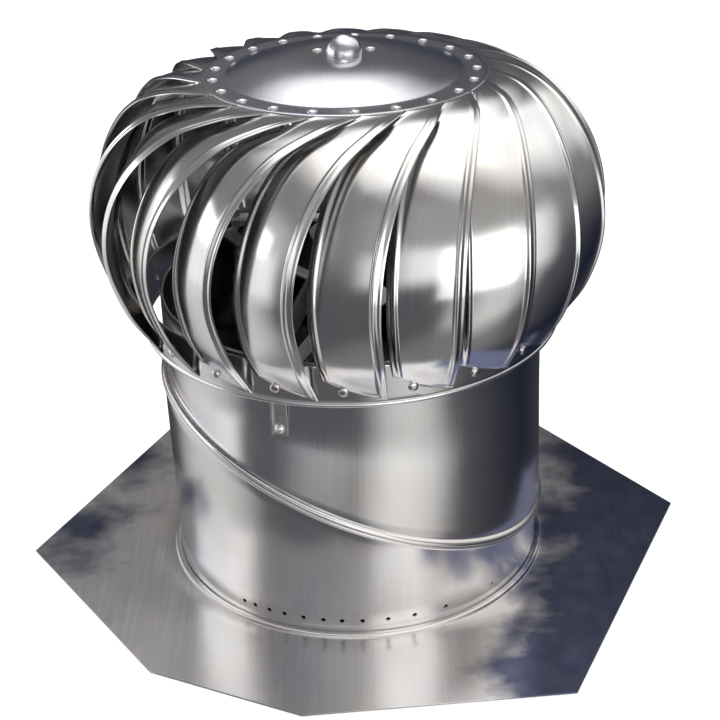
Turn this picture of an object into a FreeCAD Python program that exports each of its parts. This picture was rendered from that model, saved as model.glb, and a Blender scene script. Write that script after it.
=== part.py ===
import FreeCAD, Part
import math
import os

# Roof turbine ventilator. Millimetres, +Z up. The origin is on the collar's axis, on the underside
# of the flashing. The turbine head turns about Z, and the slanted seam falls towards +X.

V = FreeCAD.Vector
UP = V(0, 0, 1)

# Driving dimensions: sheet metal and clearances
sheet = 0.8
plate_sheet = 1.0
running_gap = 0.3

# Flashing plate
plate_corner_radius = 284.0
plate_first_corner = 4.6
plate_clipped_corners = (1, 4)
plate_opening_inset = 3.2
foot_ring_reach = 5.8
foot_ring_height = 4.2
plate_sides = 6

# Collars and their slanted seam
collar_radius = 155.6
seam_tilt = 22.5
seam_height = 110.0
seam_neck = 6.5
seam_bead_reach = 3.9
seam_bead_half = 4.4
foot_neck = 8.0
shoulder_clearance = 9.5
collar_top = 243.0
collar_roll = 1.4
index_mark_height = 14.8
index_mark_radius = 1.5
index_mark_angles = (-127, -123, -118, -113, -107, -101, -95.5, -89.5, -82, -74, -64, -46)

# Brace that carries the fixed shaft
leg_angles = (-111, 9, 129)
leg_width = 12.5
leg_thickness = 2.0
leg_stand_off = 0.8
leg_flange = 4.0
leg_flange_thickness = 1.5
leg_rim_gap = 6.0
leg_end_gap = 1.0
leg_below_screw = 5.5
screw_below_rim = 55.5
screw_shank_radius = 2.5
screw_head_radius = 4.4
screw_head_height = 3.2
screw_recess_length = 4.6
screw_recess_width = 1.0
screw_recess_depth = 1.6
screw_nut_radius = 4.6
screw_nut_height = 4.0
screw_end = 1.5
lower_arm_below_rim = 18.0
brace_seat = 0.1
upper_hub_rise = 36.0
hub_flange_radius = 32.0
hub_boss_radius = 13.0
hub_boss_height = 14.0
hub_rivet_radius = 2.5

# Fixed shaft and its bearings
shaft_radius = 6.0
shaft_below_nut = 9.0
shaft_above_nut = 2.0
thin_nut_height = 5.0
thin_nut_radius = 10.0
bearing_radius = 14.0
bearing_width = 8.0
bearing_race_wall = 2.3
ball_radius = 2.38
ball_clearance = 0.04
ball_count = 8
cage_wall = 1.3
cage_height = 5.6
bearing_below_crown = 33.5
bearing_spacing = 46.0
clip_thickness = 1.2
clip_reach = 1.6
shaft_groove_depth = 0.5
tube_groove_depth = 0.8

# Bearing tube that hangs from the crown
tube_wall = 2.5
tube_step = 1.1
tube_flange_radius = 30.0
tube_flange_thickness = 1.5

# Rotor
vane_count = 21
first_tip_angle = -98.9
band_overlap = 26.0
band_height = 33.0
band_stand_off = 13.6
band_flare = 4.0
band_bead = 2.2
band_top_roll = 1.2
crown_radius = 110.2
crown_rim_inner = 92.0
crown_flat_radius = 34.0
crown_rise = 13.5
crown_fullness = 0.7
crown_rivet_circle = 101.8
crown_rivet_lead = 29.6
knob_radius = 14.0
knob_height = 15.0
knob_wall = 1.2
knob_rivet_circle = 23.6
knob_rivet_angles = (-90, 30, 150)

# Rivets of the rotor
rivet_shank_radius = 2.0
rivet_head_radius = 3.8
rivet_head_height = 1.6
rivet_tail_radius = 2.9
rivet_tail_height = 1.4
rivet_tail_taper = 0.8
rivet_seat = 0.05
rivet_hole_reach = 4.0
band_rivet_lead = -10.8
band_rivet_rise = 12.7

# One vane: its outer and inner edges as share of the way out from the crown's edge to the band,
# angle from the vane's tip and height over the band's lower edge
outer_edge = (
    (1.0, 0.0, 4.5),
    (1.3536, -1.5, 41.0),
    (1.5567, -2.6, 83.0),
    (1.5059, -1.6, 122.0),
    (1.2606, 1.8, 156.0),
    (0.8714, 8.6, 183.0),
    (0.4484, 18.6, 196.5),
    (0.0, 30.6, 199.4),
)
inner_edge = (
    (1.0, -16.0, 23.0),
    (1.1457, -17.4, 50.0),
    (1.1997, -17.9, 88.0),
    (1.0802, -16.8, 125.0),
    (0.8265, -14.2, 158.0),
    (0.5319, -9.0, 181.0),
    (0.2373, 2.2, 192.6),
    (0.0, 14.5, 199.4),
)
outer_edge_seat = 0.855
inner_edge_seat = 0.612
crown_overhang = 1.3
vane_bow = (1.7, 3.0, 3.5, 3.5, 3.5, 2.5, 1.0, 0.3)
hem_rise = (2.6, 2.6, 2.6, 2.6, 2.4, 2.0, 1.4, 0.9)
hem_width = 8.5
hem_crest_share = 0.35
tab_low_corner = (-8.6, 4.0)
tab_overlap = 0.6
crown_tab_overlap = 1.5
tab_cutter_clearance = 34.6

# Places that follow from the driving dimensions
pitch = 360.0 / vane_count
plate_opening_radius = collar_radius - plate_opening_inset
foot_ring_radius = collar_radius + foot_ring_reach
seam_radius = collar_radius / math.cos(math.radians(seam_tilt))
seam_rise = collar_radius * math.tan(math.radians(seam_tilt))
shoulder_height = seam_height + seam_rise + shoulder_clearance
leg_outer = collar_radius + leg_stand_off + leg_thickness
leg_shoulder = collar_top + leg_rim_gap
screw_height = collar_top - screw_below_rim
screw_inner_end = collar_radius - sheet - leg_thickness - screw_nut_height - screw_end
leg_tail = screw_height - leg_below_screw
lower_arm_height = collar_top - lower_arm_below_rim
upper_hub_height = leg_shoulder + upper_hub_rise
hub_rivet_circle = (hub_flange_radius + hub_boss_radius) / 2
band_bottom = collar_top - band_overlap
band_top = band_bottom + band_height
band_bottom_radius = collar_radius + band_stand_off
band_top_radius = band_bottom_radius + band_flare
band_rivet_height = band_bottom + band_rivet_rise
crown_under = band_bottom + outer_edge[-1][2] + sheet
crown_rim_height = crown_under + sheet
crown_flat_height = crown_rim_height + crown_rise
upper_bearing_height = crown_flat_height - bearing_below_crown
lower_bearing_height = upper_bearing_height - bearing_spacing
bearing_top = upper_bearing_height + bearing_width
shaft_bottom = lower_arm_height - thin_nut_height - shaft_below_nut
shaft_top = bearing_top + thin_nut_height + shaft_above_nut
ball_circle = (shaft_radius + bearing_radius) / 2
inner_race_radius = shaft_radius + bearing_race_wall
outer_race_inner = bearing_radius - bearing_race_wall


def save(name, shape):
    if shape.ShapeType == "Compound" and len(shape.Solids) == 1:
        shape = shape.Solids[0]
    if not shape.isValid():
        print("not valid:", name)
    shape.exportStep("parts/" + name + ".step")
    print(name, len(shape.Solids), round(shape.Volume, 1))


def polar(radius, angle, height):
    turn = math.radians(angle)
    return V(radius * math.cos(turn), radius * math.sin(turn), height)


def turned(shape, angle):
    copy = shape.copy()
    copy.rotate(V(0, 0, 0), UP, angle)
    return copy


def closed_wire(points):
    return Part.makePolygon(list(points) + [points[0]])


def revolved(points, crests=()):
    """Turns a closed outline of (radius, height) points about Z. Crests are places in the list:
    each bends the two sides that meet there into one arc."""
    corners = [V(r, 0, z) for r, z in points]
    sides = []
    for k in range(len(corners)):
        start, middle, end = (corners[(k + step) % len(corners)] for step in (0, 1, 2))
        if (k + 1) % len(corners) in crests:
            sides.append(Part.Arc(start, middle, end).toShape())
        elif k not in crests:
            sides.append(Part.LineSegment(start, middle).toShape())
    return Part.Face(Part.Wire(sides)).revolve(V(0, 0, 0), UP, 360)


def cap(radius, height, base):
    """Low dome that stands on its flat base."""
    ball = (radius ** 2 + height ** 2) / (2 * height)
    lowest = math.degrees(math.acos(radius / ball))
    return Part.makeSphere(ball, V(0, 0, base + height - ball), UP, lowest, 90)


def ring(outer, inner, bottom, height):
    body = Part.makeCylinder(outer, height, V(0, 0, bottom))
    return body.cut(Part.makeCylinder(inner, height, V(0, 0, bottom)))


def torus(ring_radius, tube_radius, height):
    return Part.makeTorus(ring_radius, tube_radius, V(0, 0, height))


def hexagon_prism(radius, height, bottom):
    corners = [polar(radius, 60 * k, bottom) for k in range(6)]
    return Part.Face(closed_wire(corners)).extrude(V(0, 0, height))


def onto_seam(shape):
    """Carries a shape made about Z at the origin onto the slanted seam."""
    copy = shape.copy()
    copy.rotate(V(0, 0, 0), V(0, 1, 0), seam_tilt)
    copy.translate(V(0, 0, seam_height))
    return copy


def flat_circle(radius, height):
    return Part.Wire(Part.makeCircle(radius, V(0, 0, height), UP))


def seam_circle(radius, offset):
    return onto_seam(flat_circle(radius, offset))


def sleeve(flat_height, seam_offset):
    """Sheet wall from a level circle to a circle beside the slanted seam."""
    walls = []
    for inset in (0, sheet):
        level = flat_circle(collar_radius - inset, flat_height)
        slanted = seam_circle(seam_radius - inset, seam_offset)
        walls.append(Part.makeLoft([level, slanted], True, True))
    return walls[0].cut(walls[1])


def flashing_plate():
    step = 360 / plate_sides
    corners = [polar(plate_corner_radius, plate_first_corner + step * k, 0)
               for k in range(plate_sides)]
    plate = Part.Face(closed_wire(corners)).extrude(V(0, 0, plate_sheet))
    across = plate_corner_radius * math.cos(math.radians(step / 2))
    cutter = Part.makeBox(across, 2 * across, 3 * plate_sheet, V(across, -across, -plate_sheet))
    for k in plate_clipped_corners:
        plate = plate.cut(turned(cutter, plate_first_corner + step * k))
    plate = plate.cut(Part.makeCylinder(plate_opening_radius, plate_sheet))
    return plate.fuse(foot_ring()).removeSplitter()


def foot_ring():
    """Rolled ring round the collar's foot, hooked over the collar's lip."""
    lip_top = plate_sheet + 2 * running_gap + sheet
    wall = foot_ring_radius - sheet
    hook = collar_radius + running_gap
    shoulder = foot_ring_height - sheet
    return revolved([
        (wall, plate_sheet),
        (foot_ring_radius, plate_sheet),
        (foot_ring_radius, shoulder),
        ((foot_ring_radius + hook) / 2, foot_ring_height),
        (hook, shoulder),
        (hook, lip_top),
        (wall, lip_top),
    ], crests=(3,))


def index_marks():
    marks = []
    for angle in index_mark_angles:
        reach = wall_radius_at(angle, index_mark_height)
        marks.append(Part.makeSphere(index_mark_radius, polar(reach, angle, index_mark_height)))
    return marks


def wall_radius_at(angle, height):
    """Outer radius of the lower collar just above its foot neck."""
    wall = seam_radius * abs(math.sin(math.radians(angle)))
    slanted = math.hypot(collar_radius * math.cos(math.radians(angle)), wall)
    rise = (height - foot_neck) / (seam_height - foot_neck)
    return collar_radius + (slanted - collar_radius) * rise + index_mark_radius / 2


def lower_collar():
    bottom = plate_sheet + running_gap
    lip = foot_ring_radius - sheet - running_gap
    foot = ring(collar_radius, collar_radius - sheet, bottom, foot_neck - bottom)
    foot_lip = ring(lip, collar_radius - sheet, bottom, sheet)
    wall = sleeve(foot_neck, -seam_neck)
    inner = seam_radius - sheet
    reach = seam_radius + seam_bead_reach - 2 * sheet - 2 * running_gap
    neck = onto_seam(revolved([
        (inner, -seam_neck),
        (seam_radius, -seam_neck),
        (seam_radius, -seam_bead_half + sheet + running_gap),
        (reach, -seam_bead_half + sheet + running_gap),
        (reach, -running_gap),
        (inner, -running_gap),
    ]))
    body = foot.multiFuse([foot_lip, wall, neck])
    return body.cut(index_marks()).removeSplitter()


def upper_collar():
    """Its channel wraps the lower collar's bead, so that the two turn on each other."""
    inner = seam_radius - sheet
    edge = seam_radius + running_gap
    crest = seam_radius + seam_bead_reach
    cavity = crest - 2 * sheet - running_gap
    half = seam_bead_half
    channel = onto_seam(revolved([
        (edge, -half),
        (crest - sheet, -half),
        (crest, -half / 2),
        (crest - sheet, 0),
        (crest, half / 2),
        (crest - sheet, half),
        (seam_radius, half),
        (seam_radius, seam_neck),
        (inner, seam_neck),
        (inner, 0),
        (cavity, 0),
        (cavity, -half + sheet),
        (edge, -half + sheet),
    ], crests=(2, 4)))
    wall = sleeve(shoulder_height, seam_neck)
    top = ring(collar_radius, collar_radius - sheet, shoulder_height, collar_top - shoulder_height)
    roll = torus(collar_radius - collar_roll, collar_roll, collar_top)
    body = channel.multiFuse([wall, top, roll])
    return body.cut(screw_holes()).removeSplitter()


def radial_pin(radius, inner_end, outer_end, angle, height):
    length = outer_end - inner_end
    return Part.makeCylinder(radius, length, polar(inner_end, angle, height), polar(1, angle, 0))


def screw_holes():
    start = screw_inner_end - screw_nut_height
    end = leg_outer + screw_head_height
    return [radial_pin(screw_shank_radius, start, end, a, screw_height) for a in leg_angles]


def leg_path(offset):
    """Points of the leg's outline at one side, as (radius, height)."""
    slope = (upper_hub_height - leg_shoulder) / (leg_outer - leg_thickness - hub_flange_radius)
    lift = offset * math.hypot(1, slope)
    return [
        (leg_outer - leg_thickness + offset, leg_tail),
        (leg_outer - leg_thickness + offset, leg_shoulder - slope * offset + lift),
        (hub_flange_radius + slope * offset, upper_hub_height + offset),
        (hub_boss_radius + leg_end_gap, upper_hub_height + offset),
    ]


def hub_rivet_hole(angle):
    depth = 2 * leg_thickness
    bottom = polar(hub_rivet_circle, angle, upper_hub_height - depth)
    return Part.makeCylinder(hub_rivet_radius, 2 * depth, bottom)


def brace_leg(angle):
    """Strip with one turned-up side, from the collar over its rim to the upper hub."""
    under = leg_path(0)
    web = closed_wire([V(r, 0, z) for r, z in under + leg_path(leg_thickness)[::-1]])
    strip = Part.Face(web).extrude(V(0, leg_width, 0))
    strip.translate(V(0, -leg_width / 2, 0))
    side = leg_path(leg_flange)[:3]
    side_web = closed_wire([V(r, 0, z) for r, z in under[:3] + side[::-1]])
    flange = Part.Face(side_web).extrude(V(0, leg_flange_thickness, 0))
    flange.translate(V(0, -leg_width / 2, 0))
    leg = strip.fuse(flange).removeSplitter()
    return turned(leg, angle).cut(screw_holes() + [hub_rivet_hole(angle)])


def strips(inner_end, bottom, height):
    """One block across each leg angle, from a radius out to the inside of the collar."""
    wall = collar_radius - sheet - brace_seat
    corner = V(inner_end, -leg_width / 2, bottom)
    block = Part.makeBox(wall - inner_end, leg_width, height, corner)
    block = block.common(Part.makeCylinder(wall, height, V(0, 0, bottom)))
    return [turned(block, angle) for angle in leg_angles]


def lower_brace():
    """Plate with three level arms that steadies the shaft's lower end."""
    bottom = V(0, 0, lower_arm_height)
    plate = Part.makeCylinder(hub_flange_radius, leg_thickness, bottom)
    bore = Part.makeCylinder(shaft_radius, leg_thickness, bottom)
    arms = strips(0, lower_arm_height, leg_thickness)
    return plate.multiFuse(arms).cut(bore).removeSplitter()


def brace_feet():
    """The ends of the arms, turned down against the inside of the collar."""
    inner_end = collar_radius - sheet - leg_thickness
    feet = strips(inner_end, leg_tail, lower_arm_height - leg_tail)
    return Part.makeCompound([foot.cut(screw_holes()) for foot in feet])


def upper_hub():
    bottom = V(0, 0, upper_hub_height - leg_thickness)
    flange = Part.makeCylinder(hub_flange_radius, leg_thickness, bottom)
    boss = Part.makeCylinder(hub_boss_radius, hub_boss_height, bottom)
    bore = Part.makeCylinder(shaft_radius, hub_boss_height, bottom)
    holes = [hub_rivet_hole(angle) for angle in leg_angles]
    return flange.fuse(boss).cut([bore] + holes).removeSplitter()


def hub_rivets():
    bottom = upper_hub_height - leg_thickness
    pin = rivet(hub_rivet_radius, 2 * leg_thickness)
    return copies(pin, [polar(hub_rivet_circle, angle, bottom) for angle in leg_angles])


def copies(shape, places):
    pieces = []
    for place in places:
        piece = shape.copy()
        piece.translate(place)
        pieces.append(piece)
    return Part.makeCompound(pieces)


def rivet(shank, grip):
    """Rivet along Z: its tail is under zero and its domed head is above the grip."""
    ratio = shank / rivet_shank_radius
    wide = rivet_tail_radius * ratio
    base = V(0, 0, -rivet_tail_height)
    tail = Part.makeCone(wide * rivet_tail_taper, wide, rivet_tail_height, base)
    head = cap(rivet_head_radius * ratio, rivet_head_height, grip)
    return Part.makeCylinder(shank, grip).multiFuse([tail, head]).removeSplitter()


def screw_head():
    """Domed head along Z with a crossed recess."""
    head = cap(screw_head_radius, screw_head_height, 0)
    bottom = screw_head_height - screw_recess_depth
    corner = V(-screw_recess_length / 2, -screw_recess_width / 2, bottom)
    slot = Part.makeBox(screw_recess_length, screw_recess_width, screw_head_height, corner)
    return head.cut([slot, turned(slot, 90)])


def leg_screw():
    """Screw along Z, with the underside of its head at zero."""
    length = leg_outer - screw_inner_end
    shank = Part.makeCylinder(screw_shank_radius, length, V(0, 0, -length))
    return shank.fuse(screw_head()).removeSplitter()


def leg_screws():
    screws = []
    for angle in leg_angles:
        screw = leg_screw()
        facing = FreeCAD.Rotation(UP, polar(1, angle, 0))
        screw.Placement = FreeCAD.Placement(polar(leg_outer, angle, screw_height), facing)
        screws.append(screw)
    return Part.makeCompound(screws)


def leg_nuts():
    nuts = []
    for angle in leg_angles:
        nut = hexagon_prism(screw_nut_radius, screw_nut_height, 0)
        nut.rotate(V(0, 0, 0), V(0, 1, 0), 90)
        nut.translate(V(screw_inner_end + screw_end, 0, screw_height))
        nuts.append(turned(nut, angle).cut(screw_holes()))
    return Part.makeCompound(nuts)


def shaft():
    body = Part.makeCylinder(shaft_radius, shaft_top - shaft_bottom, V(0, 0, shaft_bottom))
    return body.cut([shaft_clip(upper_bearing_height), shaft_clip(lower_bearing_height)])


def shaft_clip(bearing_bottom):
    bottom = bearing_bottom - clip_thickness
    groove_radius = shaft_radius - shaft_groove_depth
    return ring(shaft_radius + clip_reach, groove_radius, bottom, clip_thickness)


def tube_clip():
    outer = bearing_radius + tube_groove_depth
    clip = ring(outer, bearing_radius - clip_reach, bearing_top, clip_thickness)
    mouth = Part.makeBox(outer, 2 * clip_reach, clip_thickness, V(0, -clip_reach, bearing_top))
    return clip.cut(mouth)


def thin_nut(bottom):
    nut = hexagon_prism(thin_nut_radius, thin_nut_height, bottom)
    return nut.cut(Part.makeCylinder(shaft_radius, shaft_top))


def ball_groove(height):
    return torus(ball_circle, ball_radius + ball_clearance, height + bearing_width / 2)


def inner_race(height):
    race = ring(inner_race_radius, shaft_radius, height, bearing_width)
    return race.cut(ball_groove(height))


def outer_race(height):
    race = ring(bearing_radius, outer_race_inner, height, bearing_width)
    return race.cut(ball_groove(height))


def ball_places(height):
    middle = height + bearing_width / 2
    return [polar(ball_circle, k * 360 / ball_count, middle) for k in range(ball_count)]


def balls(height):
    return Part.makeCompound([Part.makeSphere(ball_radius, p) for p in ball_places(height)])


def cage(height):
    bottom = height + (bearing_width - cage_height) / 2
    body = ring(ball_circle + cage_wall / 2, ball_circle - cage_wall / 2, bottom, cage_height)
    body = turned(body, 180 / ball_count)
    for k in range(ball_count):
        body = body.cut(cage_pocket(k * 360 / ball_count, height + bearing_width / 2))
    return body


def cage_pocket(angle, middle):
    radius = ball_radius + ball_clearance
    return radial_pin(radius, ball_circle - cage_wall, ball_circle + cage_wall, angle, middle)


def bearing_tube():
    outer = bearing_radius + tube_wall
    step = bearing_radius - tube_step
    top = crown_flat_height - sheet
    groove = bearing_radius + tube_groove_depth
    body = revolved([
        (bearing_radius, lower_bearing_height),
        (outer, lower_bearing_height),
        (outer, top - tube_flange_thickness),
        (tube_flange_radius, top - tube_flange_thickness),
        (tube_flange_radius, top),
        (bearing_radius, top),
        (bearing_radius, bearing_top + clip_thickness),
        (groove, bearing_top + clip_thickness),
        (groove, bearing_top),
        (bearing_radius, bearing_top),
        (bearing_radius, upper_bearing_height),
        (step, upper_bearing_height),
        (step, lower_bearing_height + bearing_width),
        (bearing_radius, lower_bearing_height + bearing_width),
    ])
    return body.cut(knob_rivet_holes())


def knob_rivet_holes():
    bottom = upper_bearing_height
    length = crown_flat_height - bottom + knob_height
    return [Part.makeCylinder(rivet_shank_radius, length, polar(knob_rivet_circle, a, bottom))
            for a in knob_rivet_angles]


def crown():
    """Flat rim and domed middle, with a level seat for the bearing tube."""
    half = (crown_rim_inner + crown_flat_radius) / 2
    half_height = crown_rim_height + crown_rise * crown_fullness
    body = revolved([
        (crown_radius, crown_rim_height),
        (crown_rim_inner, crown_rim_height),
        (half, half_height),
        (crown_flat_radius, crown_flat_height),
        (0, crown_flat_height),
        (0, crown_flat_height - sheet),
        (crown_flat_radius, crown_flat_height - sheet),
        (half, half_height - sheet),
        (crown_rim_inner, crown_under),
        (crown_radius, crown_under),
    ], crests=(2, 7))
    return body.cut(knob_rivet_holes() + crown_rivet_holes())


def tip_angle(index):
    return first_tip_angle + pitch * index


def crown_rivet_places(height):
    angles = [tip_angle(k) + crown_rivet_lead for k in range(vane_count)]
    return [polar(crown_rivet_circle, angle, height) for angle in angles]


def crown_rivet_holes():
    depth = 2 * rivet_hole_reach + 2 * sheet
    places = crown_rivet_places(crown_under - sheet - rivet_hole_reach)
    return [Part.makeCylinder(rivet_shank_radius, depth, place) for place in places]


def crown_rivets():
    return copies(rivet(rivet_shank_radius, 2 * sheet), crown_rivet_places(crown_under - sheet))


def knob():
    shell = Part.makeSphere(knob_radius).cut(Part.makeSphere(knob_radius - knob_wall))
    half = shell.common(Part.makeCylinder(knob_radius, knob_radius))
    skirt_height = knob_height - knob_radius
    half.translate(V(0, 0, crown_flat_height + skirt_height))
    skirt = ring(knob_radius, knob_radius - knob_wall, crown_flat_height, skirt_height)
    return half.fuse(skirt).removeSplitter()


def knob_rivets():
    grip = sheet + tube_flange_thickness
    bottom = crown_flat_height - grip
    places = [polar(knob_rivet_circle, angle, bottom) for angle in knob_rivet_angles]
    return copies(rivet(rivet_shank_radius, grip), places)


def band_radius(height):
    share = (height - band_bottom) / (band_top - band_bottom)
    return band_bottom_radius + (band_top_radius - band_bottom_radius) * share


def band_layer(inner_layer, outer_layer, bottom, top):
    """Conical ring that lies a number of sheets out from the band's outer face."""
    return revolved([
        (band_radius(bottom) + inner_layer * sheet, bottom),
        (band_radius(bottom) + outer_layer * sheet, bottom),
        (band_radius(top) + outer_layer * sheet, top),
        (band_radius(top) + inner_layer * sheet, top),
    ])


def rotor_band():
    wall = band_layer(-1, 0, band_bottom, band_top)
    bead = torus(band_bottom_radius + sheet - band_bead, band_bead, band_bottom)
    roll = torus(band_top_radius - band_top_roll, band_top_roll, band_top)
    holes = [band_rivet_hole(k) for k in range(vane_count)]
    return wall.multiFuse([bead, roll]).cut(holes).removeSplitter()


def band_rivet_frame(index):
    angle = tip_angle(index) + band_rivet_lead
    lean = (band_top_radius - band_bottom_radius) / (band_top - band_bottom)
    direction = polar(1, angle, -lean)
    seat = band_radius(band_rivet_height) - sheet - rivet_seat
    foot = polar(seat, angle, band_rivet_height)
    return foot, direction


def band_rivet_hole(index):
    foot, direction = band_rivet_frame(index)
    depth = 2 * rivet_hole_reach + 2 * sheet
    start = foot - direction * rivet_hole_reach
    return Part.makeCylinder(rivet_shank_radius, depth, start, direction)


def band_rivets():
    rivets = []
    for k in range(vane_count):
        foot, direction = band_rivet_frame(k)
        piece = rivet(rivet_shank_radius, 2 * sheet + 2 * rivet_seat)
        piece.Placement = FreeCAD.Placement(foot, FreeCAD.Rotation(UP, direction))
        rivets.append(piece)
    return Part.makeCompound(rivets)


def edge_points(edge, seat):
    """Points of one edge of the vane, from its seat on the band up to the crown."""
    crown_end = crown_radius + crown_overhang
    band_end = band_radius(band_bottom + edge[0][2]) + seat
    return [polar(crown_end + (band_end - crown_end) * share, angle, band_bottom + height)
            for share, angle, height in edge]


def vane_section(index, outer, inner):
    """Bowed sheet with a rolled hem on each edge, drawn across the vane."""
    start = inner[index]
    chord = outer[index] - start
    length = chord.Length
    along = chord / length
    before = max(index - 1, 0)
    after = min(index + 1, len(outer) - 1)
    climb = (outer[after] + inner[after]) - (outer[before] + inner[before])
    middle = (start + outer[index]) * 0.5
    out = V(middle.x, middle.y, 0) if index == 0 else along.cross(climb)
    out = out - along * out.dot(along)
    out.normalize()

    def place(x, y):
        return start + along * x + out * y

    bow = vane_bow[index]
    near = 4 * bow * (hem_width / length) * (1 - hem_width / length) + sheet
    crest = hem_width * hem_crest_share
    far = length - hem_width
    rise = hem_rise[index]
    arcs = (
        (place(0, 0), place(length / 2, bow), place(length, 0)),
        (place(length, 0), place(length - crest, rise), place(far, near)),
        (place(far, near), place(length / 2, bow + sheet), place(hem_width, near)),
        (place(hem_width, near), place(crest, rise), place(0, 0)),
    )
    return Part.Wire([Part.Arc(*points).toShape() for points in arcs])


def vane_blade():
    outer = edge_points(outer_edge, outer_edge_seat)
    inner = edge_points(inner_edge, inner_edge_seat)
    sections = [vane_section(i, outer, inner) for i in range(len(outer))]
    return Part.makeLoft(sections, True, False)


def band_tab():
    """Flat of the vane that lies on the band and takes the rivet."""
    left_angle, left_height = inner_edge[0][1:]
    right_angle, right_height = outer_edge[0][1:]
    outline = (
        (left_angle, left_height + tab_overlap),
        (right_angle, right_height + tab_overlap),
        (right_angle, right_height - tab_overlap),
        tab_low_corner,
        (left_angle, left_height - 2 * tab_overlap),
    )
    beyond = band_top_radius + tab_cutter_clearance
    corners = [polar(beyond, angle, band_bottom + height) for angle, height in outline]
    apex = V(0, 0, band_rivet_height)
    triangles = [(apex, a, b) for a, b in zip(corners, corners[1:] + corners[:1])]
    triangles += [(corners[0], a, b) for a, b in zip(corners[1:], corners[2:])]
    faces = [Part.Face(closed_wire(points)) for points in triangles]
    cutter = Part.makeSolid(Part.makeShell(faces))
    layer = band_layer(0, 1, band_bottom + band_bead, band_top)
    return layer.common(cutter)


def crown_tab():
    """Flat of the vane that lies under the crown's rim and takes the rivet."""
    start = inner_edge[-1][1]
    sweep = outer_edge[-1][1] - start
    reach = crown_radius + crown_overhang + crown_tab_overlap
    inside = crown_rim_inner + 2 * sheet
    profile = closed_wire([
        V(inside, 0, crown_under - sheet),
        V(reach, 0, crown_under - sheet),
        V(reach, 0, crown_under),
        V(inside, 0, crown_under),
    ])
    tab = Part.Face(profile).revolve(V(0, 0, 0), UP, sweep)
    return turned(tab, start)


def vane():
    body = vane_blade().multiFuse([band_tab(), crown_tab()]).removeSplitter()
    holes = [turned(crown_rivet_holes()[0], -first_tip_angle)]
    holes.append(turned(band_rivet_hole(0), -first_tip_angle))
    return body.cut(holes)


def build():
    os.makedirs("parts", exist_ok=True)
    save("flashing_plate", flashing_plate())
    save("lower_collar", lower_collar())
    save("upper_collar", upper_collar())
    for number, angle in enumerate(leg_angles, 1):
        save("brace_leg_%d" % number, brace_leg(angle))
    save("lower_brace", lower_brace())
    save("brace_feet", brace_feet())
    save("upper_hub", upper_hub())
    save("hub_rivets", hub_rivets())
    save("leg_screws", leg_screws())
    save("leg_nuts", leg_nuts())
    save("shaft", shaft())
    save("shaft_bottom_nut", thin_nut(lower_arm_height - thin_nut_height))
    save("shaft_top_nut", thin_nut(bearing_top))
    for name, height in (("upper", upper_bearing_height), ("lower", lower_bearing_height)):
        save(name + "_bearing_inner_race", inner_race(height))
        save(name + "_bearing_outer_race", outer_race(height))
        save(name + "_bearing_balls", balls(height))
        save(name + "_bearing_cage", cage(height))
        save(name + "_shaft_clip", shaft_clip(height))
    save("bearing_tube_clip", tube_clip())
    save("bearing_tube", bearing_tube())
    save("crown", crown())
    save("crown_rivets", crown_rivets())
    save("knob", knob())
    save("knob_rivets", knob_rivets())
    save("rotor_band", rotor_band())
    save("band_rivets", band_rivets())
    first = vane()
    for k in range(vane_count):
        save("vane_%02d" % (k + 1), turned(first, tip_angle(k)))


build()
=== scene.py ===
import math
import bpy
from mathutils import Matrix, Vector


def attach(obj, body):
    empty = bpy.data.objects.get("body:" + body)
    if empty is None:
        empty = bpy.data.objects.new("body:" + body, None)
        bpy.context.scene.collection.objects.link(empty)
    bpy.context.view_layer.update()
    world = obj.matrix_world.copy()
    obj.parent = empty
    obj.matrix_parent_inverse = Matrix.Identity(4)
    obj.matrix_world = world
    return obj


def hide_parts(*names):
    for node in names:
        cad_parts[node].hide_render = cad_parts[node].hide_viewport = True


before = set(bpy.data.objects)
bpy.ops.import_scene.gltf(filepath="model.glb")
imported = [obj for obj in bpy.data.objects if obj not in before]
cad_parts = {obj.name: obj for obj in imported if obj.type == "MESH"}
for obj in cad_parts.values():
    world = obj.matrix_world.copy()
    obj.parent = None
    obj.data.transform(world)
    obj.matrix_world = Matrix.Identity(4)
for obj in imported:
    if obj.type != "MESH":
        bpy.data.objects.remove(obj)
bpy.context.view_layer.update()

print("frame loaded:", len(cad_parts), "nodes")

mm = 0.001  # pieces are given in millimetres and degrees, the camera and studio in metres
turn = 2 * math.pi


# Shader helpers

class Wire:  # one socket of a node tree, with the arithmetic that materials need
    def __init__(self, tree, socket):
        self.tree, self.socket = tree, socket

    def maths(self, operation, *values):
        node = self.tree.nodes.new("ShaderNodeMath")
        node.operation = operation
        for slot, value in enumerate(values):
            plug(self.tree, node.inputs[slot], value)
        return Wire(self.tree, node.outputs[0])

    def __add__(self, other):
        return self.maths("ADD", self, other)

    def __radd__(self, other):
        return self.maths("ADD", other, self)

    def __sub__(self, other):
        return self.maths("SUBTRACT", self, other)

    def __rsub__(self, other):
        return self.maths("SUBTRACT", other, self)

    def __mul__(self, other):
        return self.maths("MULTIPLY", self, other)

    def __rmul__(self, other):
        return self.maths("MULTIPLY", other, self)

    def __truediv__(self, other):
        return self.maths("DIVIDE", self, other)

    def __pow__(self, other):
        return self.maths("POWER", self, other)


def plug(tree, socket, value):
    if isinstance(value, Wire):
        tree.links.new(value.socket, socket)
    elif isinstance(value, tuple) and len(value) == 3 and len(socket.default_value) == 4:
        socket.default_value = (*value, 1)
    else:
        socket.default_value = value


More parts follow.
